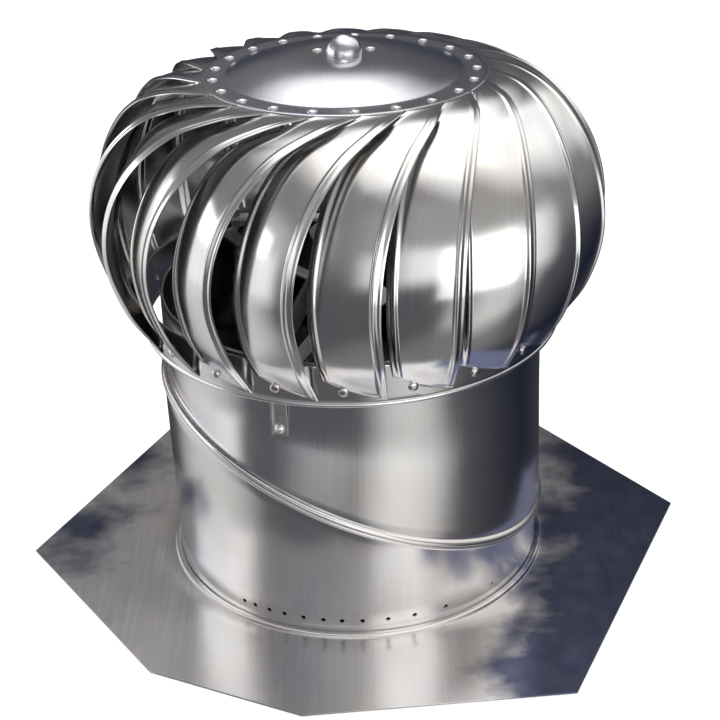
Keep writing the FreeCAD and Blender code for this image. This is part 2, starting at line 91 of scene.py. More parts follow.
class Paint:  # builds one node tree
    def __init__(self, owner):
        owner.use_nodes = True
        self.tree = owner.node_tree
        self.tree.nodes.clear()

    def node(self, kind, settings=None, values=None, out=0):
        node = self.tree.nodes.new(kind)
        for key, value in (settings or {}).items():
            if key == "stops":
                setStops(node.color_ramp, value)
            else:
                setattr(node, key, value)
        for key, value in (values or {}).items():
            plug(self.tree, node.inputs[key], value)
        return Wire(self.tree, node.outputs[out]) if node.outputs else node

    def coords(self, name="Object"):
        return self.node("ShaderNodeTexCoord", out=name)

    def split(self, vector):
        node = self.tree.nodes.new("ShaderNodeSeparateXYZ")
        plug(self.tree, node.inputs[0], vector)
        return [Wire(self.tree, socket) for socket in node.outputs]

    def joined(self, x, y, z):
        return self.node("ShaderNodeCombineXYZ", values={0: x, 1: y, 2: z})

    def noise(self, vector, scale, detail=4, rough=0.55):
        values = {"Vector": vector, "Scale": scale, "Detail": detail, "Roughness": rough}
        return self.node("ShaderNodeTexNoise", values=values)

    def ramp(self, factor, *stops):
        return self.node("ShaderNodeValToRGB", {"stops": stops}, {0: factor})

    def spread(self, value, low, high, toLow=0.0, toHigh=1.0):
        values = {0: value, 1: low, 2: high, 3: toLow, 4: toHigh}
        return self.node("ShaderNodeMapRange", {"clamp": True}, values)

    def overNoise(self, value, toLow, toHigh):  # spread over the range that a noise mostly keeps to
        return self.spread(value, 0.3, 0.7, toLow, toHigh)

    def mixed(self, factor, first, second, blend="MIX"):
        settings = {"data_type": "RGBA", "blend_type": blend}
        return self.node("ShaderNodeMix", settings, {0: factor, 6: first, 7: second}, out=2)

    def bump(self, height, strength, distance, under=None):
        values = {"Height": height, "Strength": strength, "Distance": distance}
        if under:
            values["Normal"] = under
        return self.node("ShaderNodeBump", values=values)

    def metal(self, colour, rough, normal=None, metallic=1.0):
        values = {"Base Color": colour, "Roughness": rough, "Metallic": metallic}
        if normal:
            values["Normal"] = normal
        surface = self.node("ShaderNodeBsdfPrincipled", values=values)
        self.node("ShaderNodeOutputMaterial", values={"Surface": surface})


def setStops(ramp, stops):
    while len(ramp.elements) < len(stops):
        ramp.elements.new(0.5)
    for element, (place, colour) in zip(ramp.elements, stops):
        element.position = place
        element.color = (*colour, 1)


def newMaterial(name):
    material = bpy.data.materials.new(name)
    return material, Paint(material)


# Metals

rolled = {  # what every sheet finish shares
    "broad": 0.12, "fineShare": 0.6, "broadShare": 0.4, "coolAt": 0.36, "paleAt": 0.5, "warmAt": 0.66,
    "rippleDepth": 0.004, "streakDepth": 0.0001,
}


# Sheet as it leaves the rolls: fine streaks, faint clouds and a soft ripple
def millFinish(name, streakVector, look, marksAndReflection=None):
    material, paint = newMaterial(name)
    place = paint.coords()
    streakPlace = streakVector(paint, place)
    fine = paint.noise(streakPlace, look["streaks"], 3, 0.7)
    broad = paint.noise(streakPlace, look["streaks"] * rolled["broad"], 2)
    clouds = paint.noise(place, look["clouds"], 3)
    stops = (rolled["coolAt"], look["cool"]), (rolled["paleAt"], look["pale"]), (rolled["warmAt"], look["warm"])
    tint = paint.ramp(clouds, *stops)
    lines = paint.overNoise(fine * rolled["fineShare"] + broad * rolled["broadShare"], look["lineLow"], 1.0)
    colour = paint.mixed(1.0, tint, paint.joined(lines, lines, lines), "MULTIPLY")
    # the optional extra colour pass lays stains and painted reflection over the sheet
    if marksAndReflection:
        colour = marksAndReflection(paint, place, colour)
    rough = paint.overNoise(fine * 0.5 + clouds * 0.5, look["rough"], look["rough"] + look["roughSpread"])
    dents = paint.noise(place, look["ripples"], 1, 0.4)
    ripple = paint.bump(dents, look["rippleStrength"], rolled["rippleDepth"])
    paint.metal(colour, rough, paint.bump(fine, look["streakStrength"], rolled["streakDepth"], ripple))
    return material


streak = {  # how far each pattern is stretched along its sheet
    "sleeveAround": 0.16, "sleeveUp": 0.012, "vaneAcross": 0.06, "vaneAlong": 0.004, "vaneDrift": 0.01,
    "plateAlong": 0.02,
}


def upTheSleeve(paint, place):
    x, y, z = paint.split(place)
    angle = paint.node("ShaderNodeMath", {"operation": "ARCTAN2"}, {0: y, 1: x})
    return paint.joined(angle * streak["sleeveAround"], z * streak["sleeveUp"], 0.0)


def alongTheVane(paint, place):
    u, v, w = paint.split(paint.coords("UV"))
    x, y, z = paint.split(place)
    return paint.joined(u * streak["vaneAcross"], v * streak["vaneAlong"], (x + y) * streak["vaneDrift"])


def alongThePlate(paint, place):
    x, y, z = paint.split(place)
    return paint.joined(x, y * streak["plateAlong"], z)


def paintedReflectionStains(paint, place, colour):  # mottled handling stains with painted dark navy reflection laid over them, strongest towards the flashing's two side corners
    x, y, z = paint.split(place)
    rightward = x - y * stainAndReflection["rightLean"]
    leftward = x * -1.0 + y * stainAndReflection["leftLean"]
    right = paint.spread(rightward, stainAndReflection["rightStart"], stainAndReflection["rightEnd"], stainAndReflection["none"], stainAndReflection["right"])
    left = paint.spread(leftward, stainAndReflection["leftStart"], stainAndReflection["leftEnd"], 0.0, stainAndReflection["left"])
    clouds = paint.noise(paint.joined(x, y * stainAndReflection["stretch"], z), stainAndReflection["clouds"], 5, 0.6)
    fine = paint.noise(place, stainAndReflection["specks"], 3)
    share = paint.spread(clouds + right + left + fine * stainAndReflection["speckShare"], stainAndReflection["start"], stainAndReflection["full"])
    return paint.mixed(share, colour, paint.mixed(fine, stainAndReflection["dark"], stainAndReflection["light"]))


vaneLook = {
    "pale": (0.87, 0.87, 0.87), "cool": (0.79, 0.80, 0.83), "warm": (0.86, 0.83, 0.80),
    "streaks": 900.0, "lineLow": 0.92, "clouds": 9.0, "rough": 0.15, "roughSpread": 0.06,
    "ripples": 14.0, "rippleStrength": 0.08, "streakStrength": 0.05,
}
sleeveLook = {
    "pale": (0.84, 0.84, 0.84), "cool": (0.76, 0.77, 0.82), "warm": (0.83, 0.79, 0.77),
    "streaks": 700.0, "lineLow": 0.93, "clouds": 6.0, "rough": 0.16, "roughSpread": 0.07,
    "ripples": 9.0, "rippleStrength": 0.10, "streakStrength": 0.06,
}
# painted reflection: the crown's darker, bluer tints stand in for the navy room it mirrors; the cloudy change
# between them is the sheet's own tone
crownLookAndReflection = {
    "pale": (0.78, 0.80, 0.88), "cool": (0.64, 0.67, 0.79), "warm": (0.79, 0.78, 0.81),
    "streaks": 600.0, "lineLow": 0.92, "clouds": 8.0, "rough": 0.17, "roughSpread": 0.05,
    "ripples": 10.0, "rippleStrength": 0.10, "streakStrength": 0.06,
}
plateLook = {
    "pale": (0.82, 0.80, 0.79), "cool": (0.76, 0.76, 0.78), "warm": (0.84, 0.81, 0.77),
    "streaks": 500.0, "lineLow": 0.95, "clouds": 7.0, "rough": 0.21, "roughSpread": 0.07,
    "ripples": 7.0, "rippleStrength": 0.3, "streakStrength": 0.03,
}
# painted reflection: the dark and light navy colours and the ramps towards the two side corners stand in for the
# dark room mirrored in the flashing; the cloudy mottling follows the sheet's handling stains
stainAndReflection = {
    "none": -0.20, "rightStart": 0.10, "rightEnd": 0.22, "right": 0.38,
    "leftStart": 0.14, "leftEnd": 0.25, "left": 0.32, "start": 0.52, "full": 0.76,
    "rightLean": 0.25, "leftLean": 0.3, "stretch": 1.3, "clouds": 10.0, "specks": 50.0, "speckShare": 0.05,
    "dark": (0.07, 0.085, 0.16), "light": (0.20, 0.22, 0.33),
}
vaneMetal = millFinish("vaneSheet", alongTheVane, vaneLook)
sleeveMetal = millFinish("collarSheet", upTheSleeve, sleeveLook)
crownMetalAndReflection = millFinish("crownSheet", alongThePlate, crownLookAndReflection)
plateMetal = millFinish("flashingSheet", alongThePlate, plateLook, paintedReflectionStains)


def zincPlate(name="zincPlating"):  # bright zinc: small spangles and a faint yellow passivation
    look = {
        "bright": (0.90, 0.91, 0.90), "dull": (0.74, 0.76, 0.77), "yellow": (0.86, 0.85, 0.74),
        "spangles": 260.0, "clouds": 40.0, "rough": (0.27, 0.33),
    }
    material, paint = newMaterial(name)
    place = paint.coords()
    cells = paint.node("ShaderNodeTexVoronoi", {"feature": "F1"}, {"Vector": place, "Scale": look["spangles"]})
    clouds = paint.noise(place, look["clouds"])
    stops = (0.3, look["dull"]), (0.5, look["bright"]), (0.65, look["yellow"])
    colour = paint.ramp(clouds * 0.9 + cells * 0.1, *stops)
    rough = paint.spread(cells, 0.0, 0.6, *look["rough"])
    paint.metal(colour, rough, paint.bump(clouds, 0.15, 0.0004))
    return material


def turnedSteel(name="bearingSteel"):  # ground rings and balls
    look = {"light": (0.72, 0.73, 0.75), "dark": (0.52, 0.53, 0.55), "grind": 4000.0, "rough": (0.12, 0.22)}
    material, paint = newMaterial(name)
    x, y, z = paint.split(paint.coords())
    grind = paint.noise(paint.joined(x * 0.05, y * 0.05, z), look["grind"], 2)
    colour = paint.ramp(grind, (0.35, look["dark"]), (0.65, look["light"]))
    paint.metal(colour, paint.overNoise(grind, *look["rough"]), paint.bump(grind, 0.08, 0.0001))
    return material


def nylon(name="cageNylon"):
    look = {"dark": (0.74, 0.71, 0.62), "light": (0.84, 0.81, 0.73), "grain": 900.0, "rough": (0.42, 0.55)}
    material, paint = newMaterial(name)
    grain = paint.noise(paint.coords(), look["grain"])
    colour = paint.ramp(grain, (0.35, look["dark"]), (0.65, look["light"]))
    paint.metal(colour, paint.overNoise(grain, *look["rough"]), paint.bump(grain, 0.1, 0.0003), 0.0)
    return material


def shadedDimple(name="shadedDimple"):  # painted shade: the pressed marks are coloured nearly black for the shade in their hollows
    look = {"dark": (0.03, 0.03, 0.032), "light": (0.09, 0.085, 0.085), "shadeSpeckle": 1500.0, "rough": (0.45, 0.6)}
    material, paint = newMaterial(name)
    shadeSpeckle = paint.noise(paint.coords(), look["shadeSpeckle"])
    colour = paint.ramp(shadeSpeckle, (0.35, look["dark"]), (0.65, look["light"]))
    paint.metal(colour, paint.overNoise(shadeSpeckle, *look["rough"]), paint.bump(shadeSpeckle, 0.1, 0.0001))
    return material


zincMetal = zincPlate()
steelMetal = turnedSteel()
cageNylon = nylon()
markShadeMetal = shadedDimple()
print("materials made")


# Mesh helpers

def sine(degrees):
    return math.sin(math.radians(degrees))


def cosine(degrees):
    return math.cos(math.radians(degrees))


def polar(radius, degrees, height):
    angle = math.radians(degrees)
    return Vector((radius * math.cos(angle), radius * math.sin(angle), height))


def nothingSelected():
    if bpy.context.object and bpy.context.object.mode != "OBJECT":
        bpy.ops.object.mode_set(mode="OBJECT")
    bpy.ops.object.select_all(action="DESELECT")


def editMesh(piece, *steps):  # runs edit-mode operators on everything in the piece
    nothingSelected()
    bpy.context.view_layer.objects.active = piece
    piece.select_set(True)
    bpy.ops.object.mode_set(mode="EDIT")
    bpy.ops.mesh.select_all(action="SELECT")
    for step in steps:
        step()
    bpy.ops.object.mode_set(mode="OBJECT")


# A grid whose points lie where place(column, row) says
def gridPiece(name, across, along, place, closed=False):
    nothingSelected()
    bpy.ops.mesh.primitive_grid_add(x_subdivisions=across, y_subdivisions=along, size=2)
    piece = bpy.context.object
    piece.name = name
    for point in piece.data.vertices:
        column = round((point.co.x + 1) / 2 * across)
        row = round((point.co.y + 1) / 2 * along)
        point.co = place(column, row)
    if closed:
        editMesh(piece, lambda: bpy.ops.mesh.remove_doubles(threshold=1e-6),
                 lambda: bpy.ops.mesh.normals_make_consistent(inside=False))
    return piece


def finished(piece, material, body, angle=40, *nodes):
    nothingSelected()
    bpy.context.view_layer.objects.active = piece
    piece.select_set(True)
    bpy.ops.object.transform_apply(location=True, rotation=True, scale=True)
    bpy.ops.object.shade_smooth_by_angle(angle=math.radians(angle))
    piece.data.materials.clear()
    piece.data.materials.append(material)
    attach(piece, body)
    if nodes:
        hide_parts(*nodes)
    return piece


def applied(piece, kind, **settings):
    nothingSelected()
    bpy.context.view_layer.objects.active = piece
    modifier = piece.modifiers.new(kind.title(), kind)
    for key, value in settings.items():
        setattr(modifier, key, value)
    bpy.ops.object.modifier_apply(modifier=modifier.name)
    return piece


# A closed outline of (radius, height) points in millimetres, spun about Z
def revolved(name, outline, steps=192):
    nothingSelected()
    bpy.ops.mesh.primitive_circle_add(vertices=len(outline), radius=1)
    piece = bpy.context.object
    piece.name = name
    for point, (radius, height) in zip(piece.data.vertices, outline):
        point.co = Vector((radius * mm, 0, height * mm))
    editMesh(piece,
             lambda: bpy.ops.mesh.spin(steps=steps, angle=turn, center=(0, 0, 0), axis=(0, 0, 1)),
             lambda: bpy.ops.mesh.select_all(action="SELECT"),
             lambda: bpy.ops.mesh.remove_doubles(threshold=1e-6),
             lambda: bpy.ops.mesh.normals_make_consistent(inside=False))
    return piece


def arcPoints(centre, radius, start, end, count):
    steps = [math.radians(start + (end - start) * k / count) for k in range(count + 1)]
    return [(centre[0] + radius * math.cos(a), centre[1] + radius * math.sin(a)) for a in steps]


def joinedCopies(name, model, places):  # copies of a model, each set down by one matrix, joined in one piece
    copies = []
    for matrix in places:
        copy = model.copy()
        copy.data = model.data.copy()
        bpy.context.collection.objects.link(copy)
        copy.data.transform(matrix)
        copies.append(copy)
    bpy.data.objects.remove(model)
    nothingSelected()
    for copy in copies:
        copy.select_set(True)
    bpy.context.view_layer.objects.active = copies[0]
    bpy.ops.object.join()
    copies[0].name = name
    return copies[0]


# Vanes

vane = {
    "count": 21, "firstTip": -98.9, "sheet": 0.8,
    "outerEdge": [(170.6, 0.0, 221.5), (191.5, -1.5, 258.0), (203.5, -2.6, 300.0), (200.5, -1.6, 339.0),
                  (186.0, 1.8, 373.0), (163.0, 8.6, 400.0), (138.0, 18.6, 413.5), (111.5, 30.6, 416.4)],
    "innerEdge": [(172.6, -16.0, 240.0), (181.5, -17.4, 267.0), (184.8, -17.9, 305.0), (177.5, -16.8, 342.0),
                  (162.0, -14.2, 375.0), (144.0, -9.0, 398.0), (126.0, 2.2, 409.6), (111.5, 14.5, 416.4)],
    "bow": [1.7, 3.0, 3.5, 3.5, 3.5, 2.5, 1.0, 0.3],
    "beadRise": [0.6, 1.9, 2.0, 1.9, 1.6, 1.1, 0.4, 0.0],
    "beadMiddle": 5.4, "beadHalf": 3.0, "lipDrop": 0.7, "lipWidth": 1.2, "nearby": 0.15,
    "hemSteps": [0.0, 0.5, 1.1, 1.8, 2.5, 3.2, 3.9, 4.6, 5.4, 6.2, 6.9, 7.6, 8.3, 9.0],
    "bodySteps": 12, "rowsPerSpan": 8, "tabRows": 6, "tabCorner": (-8.6, 221.0), "tabDrop": 0.4,
    "tabLeast": 0.15, "crownRows": [110.0, 104.0, 98.0], "crownRowHeight": 417.2,
}
band = {
    "bottom": 217.0, "top": 250.0, "bottomRadius": 169.2, "topRadius": 173.2, "sheet": 0.8,
    "bead": 2.2, "topRoll": 1.2, "beadBack": 1.2, "beadTop": 2.0,
    "outerLevels": (219.5, 223, 232, 243, 247.5, 249), "innerLevels": (247.5, 243, 232, 223, 220),
    "rivetHeight": 229.7, "rivetLead": -10.8, "rivetSink": 0.85, "rivetGrip": 1.7,
}


def bandRadius(height):
    share = (height - band["bottom"]) / (band["top"] - band["bottom"])
    return band["bottomRadius"] + (band["topRadius"] - band["bottomRadius"]) * share


def smoothPath(points, position):  # smooth curve through points, at a position counted in points
    last = len(points) - 1
    span = min(int(position), last - 1)
    t = position - span
    p1, p2 = points[span], points[span + 1]
    p0 = points[span - 1] if span > 0 else p1 + (p1 - p2)
    p3 = points[span + 2] if span + 2 <= last else p2 + (p2 - p1)
    squared = 2 * p0 - 5 * p1 + 4 * p2 - p3
    cubed = 3 * p1 - p0 - 3 * p2 + p3
    return 0.5 * (2 * p1 + (p2 - p0) * t + squared * t ** 2 + cubed * t ** 3)


def vaneSheet(number):
    tip = vane["firstTip"] + 360 / vane["count"] * number
    outer = [polar(r * mm, a + tip, z * mm) for r, a, z in vane["outerEdge"]]
    inner = [polar(r * mm, a + tip, z * mm) for r, a, z in vane["innerEdge"]]
    last = len(outer) - 1
    bladeRows = last * vane["rowsPerSpan"]
    hem = vane["hemSteps"]
    across = 2 * (len(hem) - 1) + vane["bodySteps"]

    def stationsAt(column, length):
        if column < len(hem):
            return hem[column] * mm, hem[column]
        if column > across - len(hem):
            edge = hem[across - column]
            return length - edge * mm, edge
        share = (column - len(hem) + 1) / vane["bodySteps"]
        start = hem[-1] * mm
        return start + (length - 2 * start) * share, None

    def beadHeight(edge, rise):
        if edge is None:
            return 0.0
        off = abs(edge - vane["beadMiddle"]) / vane["beadHalf"]
        crest = rise * math.cos(min(off, 1) * math.pi / 2) ** 2
        lip = vane["lipDrop"] * max(0, 1 - edge / vane["lipWidth"]) ** 2
        return crest - lip * min(rise, 1)

    def onBlade(column, position):
        left, right = smoothPath(inner, position), smoothPath(outer, position)
        below = max(position - vane["nearby"], 0)
        above = min(position + vane["nearby"], last)
        climb = smoothPath(inner, above) + smoothPath(outer, above)
        climb -= smoothPath(inner, below) + smoothPath(outer, below)
        chord = right - left
        along = chord.normalized()
        level = Vector((left.x + right.x, left.y + right.y, 0))
        out = level if position == 0 else along.cross(climb)
        out = (out - along * out.dot(along)).normalized()
        if 0 < position < 1:  # the foot faces straight out, to lie on the band
            start = (level - along * level.dot(along)).normalized()
            out = (start * (1 - position) + out * position).normalized()
        x, edge = stationsAt(column, chord.length)
        share = x / chord.length
        bow = smoothPath(vane["bow"], position)
        rise = max(smoothPath(vane["beadRise"], position), 0)
        y = 4 * bow * share * (1 - share) + vane["sheet"] + beadHeight(edge, rise)
        return left + along * x + out * y * mm, share

    leftAngle, leftHeight = vane["innerEdge"][0][1:]
    rightAngle, rightHeight = vane["outerEdge"][0][1:]
    cornerAngle, cornerHeight = vane["tabCorner"]

    def onTab(share, drop):
        angle = leftAngle + (rightAngle - leftAngle) * share
        top = leftHeight + (rightHeight - leftHeight) * share
        knee = (cornerAngle - leftAngle) / (rightAngle - leftAngle)
        if share < knee:
            low = leftHeight + (cornerHeight - leftHeight) * share / knee
        else:
            low = cornerHeight + (rightHeight - vane["tabDrop"] - cornerHeight) * (share - knee) / (1 - knee)
        height = top + (min(low, top - vane["tabLeast"]) - top) * drop
        return polar((bandRadius(height) + vane["sheet"]) * mm, angle + tip, height * mm)

    def place(column, row):
        if row < vane["tabRows"]:
            share = onBlade(column, 0)[1]
            return onTab(share, 1 - row / vane["tabRows"])
        row -= vane["tabRows"]
        if row <= bladeRows:
            return onBlade(column, row / vane["rowsPerSpan"])[0]
        radius = vane["crownRows"][row - bladeRows - 1]
        edge = onBlade(column, last)[0]
        angle = math.degrees(math.atan2(edge.y, edge.x))
        return polar(radius * mm, angle, vane["crownRowHeight"] * mm)

    along = vane["tabRows"] + bladeRows + len(vane["crownRows"])
    piece = gridPiece("vane%02d" % (number + 1), across, along, place)
    applied(piece, "SOLIDIFY", thickness=vane["sheet"] * mm, offset=-1)
    return finished(piece, vaneMetal, "turbine_head", 50, "vane_%02d" % (number + 1))


for number in range(vane["count"]):
    vaneSheet(number)
print("vanes made")


# Rotor band, crown and knob

def rotorBand():
    bottom, top, sheet = band["bottom"], band["top"], band["sheet"]
    bead, roll = band["bead"], band["topRoll"]
    centre = (band["bottomRadius"] + sheet - bead, bottom)
    outline = arcPoints(centre, bead, 250, 55 + 360, 14)
    outline += [(bandRadius(z), z) for z in band["outerLevels"]]
    outline += arcPoints((band["topRadius"] - roll, top), roll, 0, 230, 8)
    outline += [(bandRadius(z) - sheet, z) for z in band["innerLevels"]]
    outline += [(band["bottomRadius"] - bead * band["beadBack"], bottom + band["beadTop"])]
    piece = revolved("rotorBand", outline, 252)
    return finished(piece, sleeveMetal, "turbine_head", 35, "rotor_band")


crown = {
    "rings": [110.2, 109.6, 106, 100, 96, 93.5, 92.4, 91.5, 90, 86, 80, 72, 62, 50, 40, 34, 26, 16, 6],
    "rimInner": 92.0, "rimHeight": 418.0, "flatRadius": 34.0, "flatHeight": 431.5, "sheet": 0.8,
    "straight": 0.2, "rounded": 0.8, "edgeRound": 0.25,
    "rivetCircle": 101.8, "rivetLead": 29.6, "rivetFoot": 416.4, "rivetGrip": 1.6,
}
knob = {
    "radius": 14.0, "height": 15.0, "lift": 0.1, "skirt": 1.2, "wall": 1.2, "topWall": 1.4, "innerDrop": 0.4,
    "rivetCircle": 23.6, "rivetAngles": (-90, 30, 150), "rivetGrip": 2.3,
}


def domeHeight(radius):
    width = crown["rimInner"] - crown["flatRadius"]
    share = min(max((radius - crown["flatRadius"]) / width, 0), 1)
    rise = crown["flatHeight"] - crown["rimHeight"]
    return crown["flatHeight"] - rise * share * (crown["straight"] + crown["rounded"] * share)


def crownSheet():
    radius = crown["rings"][0]
    top = [(r, domeHeight(r)) for r in crown["rings"]]
    under = [(r, z - crown["sheet"]) for r, z in reversed(top)]
    under[-1] = (radius, crown["rimHeight"] - crown["sheet"])
    top[0] = (radius, crown["rimHeight"] - crown["edgeRound"])
    piece = revolved("crown", top + under, 192)
    return finished(piece, crownMetalAndReflection, "turbine_head", 40, "crown")


def knobCap():
    seat, radius = crown["flatHeight"], knob["radius"]
    inside, foot, peak = radius - knob["wall"], seat + knob["lift"], seat + knob["height"]
    outline = [(radius, foot), (radius, seat + knob["skirt"])]
    outline += arcPoints((0, peak - radius), radius, 6, 88, 20)
    outline += [(0.3, peak - knob["topWall"])]
    outline += [(r, z - knob["innerDrop"]) for r, z in arcPoints((0, peak - radius), inside, 84, 6, 10)]
    outline += [(inside, foot)]
    piece = revolved("knob", outline, 96)
    return finished(piece, crownMetalAndReflection, "turbine_head", 35, "knob")


rotorBand()
crownSheet()
knobCap()
print("band, crown and knob made")


# Rivets

rivet = {"headRadius": 3.8, "headRise": 1.7, "rim": 0.35, "shank": 2.0, "tailRadius": 2.9, "tailHeight": 1.4}


def rivetModel(grip):  # one domed rivet along Z, its tail under zero
    head, rise, rim = rivet["headRadius"], rivet["headRise"], rivet["rim"]
    tail, drop = rivet["tailRadius"], rivet["tailHeight"]
    dome = [(head * math.cos(a), grip + rim + (rise - rim) * math.sin(a))
            for a in [math.radians(d) for d in (0, 18, 36, 54, 72, 88)]]
    outline = [(0.05, -drop), (tail * 0.8, -drop), (tail, -drop * 0.5), (tail * 0.95, -0.05)]
    outline += [(rivet["shank"], 0.0), (rivet["shank"], grip), (head, grip)] + dome
    return revolved("rivetModel", outline, 20)


def standing(point, direction):
    return Matrix.Translation(point) @ direction.to_track_quat("Z", "Y").to_matrix().to_4x4()


def crownRivets():
    places = []
    for k in range(vane["count"]):
        angle = vane["firstTip"] + 360 / vane["count"] * k + crown["rivetLead"]
        places.append(Matrix.Translation(polar(crown["rivetCircle"] * mm, angle, crown["rivetFoot"] * mm)))
    piece = joinedCopies("crownRivets", rivetModel(crown["rivetGrip"]), places)
    return finished(piece, rivetMetal, "turbine_head", 50, "crown_rivets")


def bandRivets():
    lean = (band["topRadius"] - band["bottomRadius"]) / (band["top"] - band["bottom"])
    height = band["rivetHeight"]
    places = []
    for k in range(vane["count"]):
        angle = vane["firstTip"] + 360 / vane["count"] * k + band["rivetLead"]
        foot = polar((bandRadius(height) - band["rivetSink"]) * mm, angle, height * mm)
        places.append(standing(foot, polar(1, angle, -lean)))
    piece = joinedCopies("bandRivets", rivetModel(band["rivetGrip"]), places)
    return finished(piece, rivetMetal, "turbine_head", 50, "band_rivets")


def knobRivets():
    seat = crown["flatHeight"] - knob["rivetGrip"]
    feet = [polar(knob["rivetCircle"] * mm, angle, seat * mm) for angle in knob["rivetAngles"]]
    places = [Matrix.Translation(foot) for foot in feet]
    piece = joinedCopies("knobRivets", rivetModel(knob["rivetGrip"]), places)
    return finished(piece, rivetMetal, "turbine_head", 50, "knob_rivets")


rivetLook = dict(crownLookAndReflection, pale=(0.86, 0.86, 0.87), cool=(0.78, 0.79, 0.82), warm=(0.80, 0.78, 0.77),
                 rough=0.18, streaks=300.0, lineLow=0.9)
rivetMetal = millFinish("rivetAluminium", alongThePlate, rivetLook)
crownRivets()
bandRivets()
knobRivets()
print("rivets made")


# Collars, with the slanted seam and the foot ring

collar = {
    "radius": 155.6, "sheet": 0.8, "gap": 0.3, "around": 240, "tilt": 22.5, "seamHeight": 110.0, "neck": 6.5,
    "beadHalf": 4.4, "beadReach": 3.9, "ridgeSteps": 24, "ridgeFoot": 0.9, "ridgeShape": 0.7, "waist": 0.45,
    "footRing": 161.4, "footLevel": 1.0, "footBend": 4.5, "footTop": 8.0, "wallRows": 14, "innerRows": 12,
    "shoulder": 184.0, "easeTop": 200.0, "easeWidth": 0.4, "easeRows": 18, "top": 243.0, "roll": 1.4, "mouth": 4,
    "markHeight": 14.8, "markRadius": 1.9, "markOut": 0.3, "markSlack": 0.05, "shadedMarks": 8,
    "markAngles": (-127, -123, -118, -113, -107, -101, -95.5, -89.5, -82, -74, -64, -46),
}
seamRadius = collar["radius"] / cosine(collar["tilt"])
seamLift = Matrix.Translation((0, 0, collar["seamHeight"] * mm))
seamTurn = seamLift @ Matrix.Rotation(math.radians(collar["tilt"]), 4, "Y")


def easedRing(start, end, share):  # leaves the start without a crease, then runs straight to the end
    width = collar["easeWidth"]
    moved = share ** 2 / (2 * width) if share < width else share - width / 2

    def ringAt(angle):
        first, last = start(angle), end(angle)
        point = first.lerp(last, moved / (1 - width / 2))
        point.z = first.z + (last.z - first.z) * share
        return point
    return ringAt


def levelRing(radius, height):
    return lambda angle: polar(radius * mm, angle, height * mm)


def seamRing(offset, lift):  # a circle about the seam's own axis
    return lambda angle: seamTurn @ polar((seamRadius + offset) * mm, angle, lift * mm)


def between(first, second, count):
    def ringAt(share):
        return lambda angle: first(angle).lerp(second(angle), share)
    return [ringAt(k / (count + 1)) for k in range(1, count + 1)]


def sleeve(name, rings):
    around = collar["around"]
    rings = rings + rings[:1]

    def place(column, row):
        return rings[row](360 * (column % around) / around)
    return gridPiece(name, around, len(rings) - 1, place, True)


def markCentres():
    rise = (collar["markHeight"] - collar["footTop"]) / (collar["seamHeight"] - collar["footTop"])
    centres = []
    for angle in collar["markAngles"]:
        slanted = math.hypot(collar["radius"] * cosine(angle), seamRadius * sine(angle))
        wall = collar["radius"] + (slanted - collar["radius"]) * rise
        centres.append(polar((wall + collar["markOut"]) * mm, angle, collar["markHeight"] * mm))
    return centres


def indexMarks():  # balls that press a row of dimples in the collar's foot
    nothingSelected()
    bpy.ops.mesh.primitive_uv_sphere_add(segments=24, ring_count=16, radius=collar["markRadius"] * mm)
    model = bpy.context.object
    return joinedCopies("indexMarks", model, [Matrix.Translation(centre) for centre in markCentres()])


def lowerCollar():
    gap, sheet, rows = collar["gap"], collar["sheet"], collar["wallRows"]
    foot = collar["footLevel"] + gap
    lip = collar["footRing"] - sheet - gap
    underBead = -collar["beadHalf"] + sheet + gap
    reach = collar["beadReach"] - 2 * sheet - 2 * gap
    outer = levelRing(collar["radius"], collar["footTop"])
    inner = levelRing(collar["radius"] - sheet, collar["footTop"])
    neckOut, neckIn = seamRing(0, -collar["neck"]), seamRing(-sheet, -collar["neck"])
    rings = [levelRing(lip, foot), levelRing(lip, foot + sheet), levelRing(collar["radius"], foot + sheet)]
    rings += [levelRing(collar["radius"], collar["footBend"]), outer] + between(outer, neckOut, rows) + [neckOut]
    rings += [seamRing(0, underBead), seamRing(reach, underBead), seamRing(reach, -gap), seamRing(-sheet, -gap)]
    rings += [neckIn] + between(neckIn, inner, rows) + [inner, levelRing(collar["radius"] - sheet, foot)]
    piece = sleeve("lowerCollar", rings)
    marks = indexMarks()
    applied(piece, "BOOLEAN", object=marks, operation="DIFFERENCE", solver="EXACT")
    bpy.data.objects.remove(marks)
    finished(piece, sleeveMetal, "lower_base", 35, "lower_collar")
    # painted shade: faces inside the first eight dimples get the near-black material
    piece.data.materials.append(markShadeMetal)
    points = piece.data.vertices
    near = (collar["markRadius"] + collar["markSlack"]) * mm
    for face in piece.data.polygons:
        for centre in markCentres()[:collar["shadedMarks"]]:
            if all((points[index].co - centre).length < near for index in face.vertices):
                face.material_index = 1
    return piece


